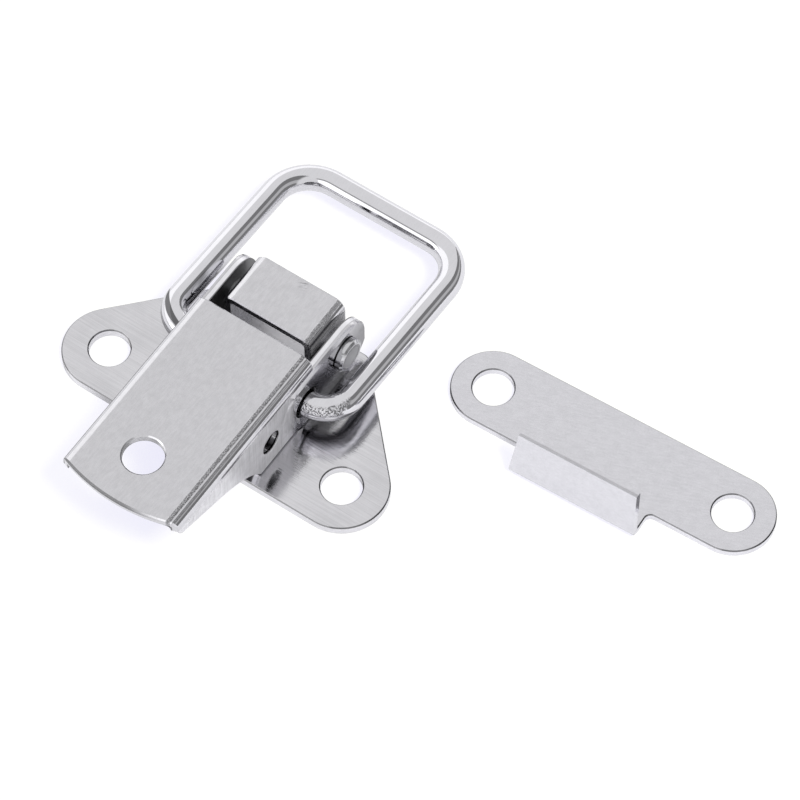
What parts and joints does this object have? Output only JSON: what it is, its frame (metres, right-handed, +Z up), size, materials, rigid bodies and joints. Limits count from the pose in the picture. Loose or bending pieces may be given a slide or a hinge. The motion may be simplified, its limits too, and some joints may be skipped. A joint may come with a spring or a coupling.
{
  "type": "over centre toggle latch",
  "caption": "Folded sheet steel toggle latch with a hinged lever, a round wire bail and a separate hook plate, all screwed down flat.",
  "frame": {"origin": "midway between the base plate's two screw holes, on its underside", "axes": "+Z up from the mounting surface, +X along the line of the two screw holes, +Y from the lever's free end towards the bail's far bar"},
  "size_m": [0.084, 0.0557, 0.012],
  "materials": {
    "brushed_plate": "brushed",
    "bracket_sheet": "satin",
    "rivet_steel": "polished",
    "lever_sheet": "satin",
    "polished_wire": "polished",
    "keeper_sheet": "satin"
  },
  "bodies": {
    "base": {"base_plate": "brushed_plate", "pivot_bracket": "bracket_sheet", "pivot_rivet": "rivet_steel", "keeper_plate": "keeper_sheet"},
    "lever": {"lever": "lever_sheet"},
    "bail": {"bail": "polished_wire"}
  },
  "joints": [
    {"name": "lever_pivot", "type": "hinge", "parent": "base", "child": "lever", "pos_m": [0, 0.01265, 0.0063], "axis": [-1, 0, 0], "range_deg": [0, 150]},
    {"name": "bail_pivot", "type": "hinge", "parent": "lever", "child": "bail", "pos_m": [0, 0.0049, 0.0056], "axis": [-1, 0, 0], "range_deg": [-140, 0]}
  ],
  "couplings": [
    {"joint": "bail_pivot", "follows": "lever_pivot", "ratio": -0.93}
  ]
}
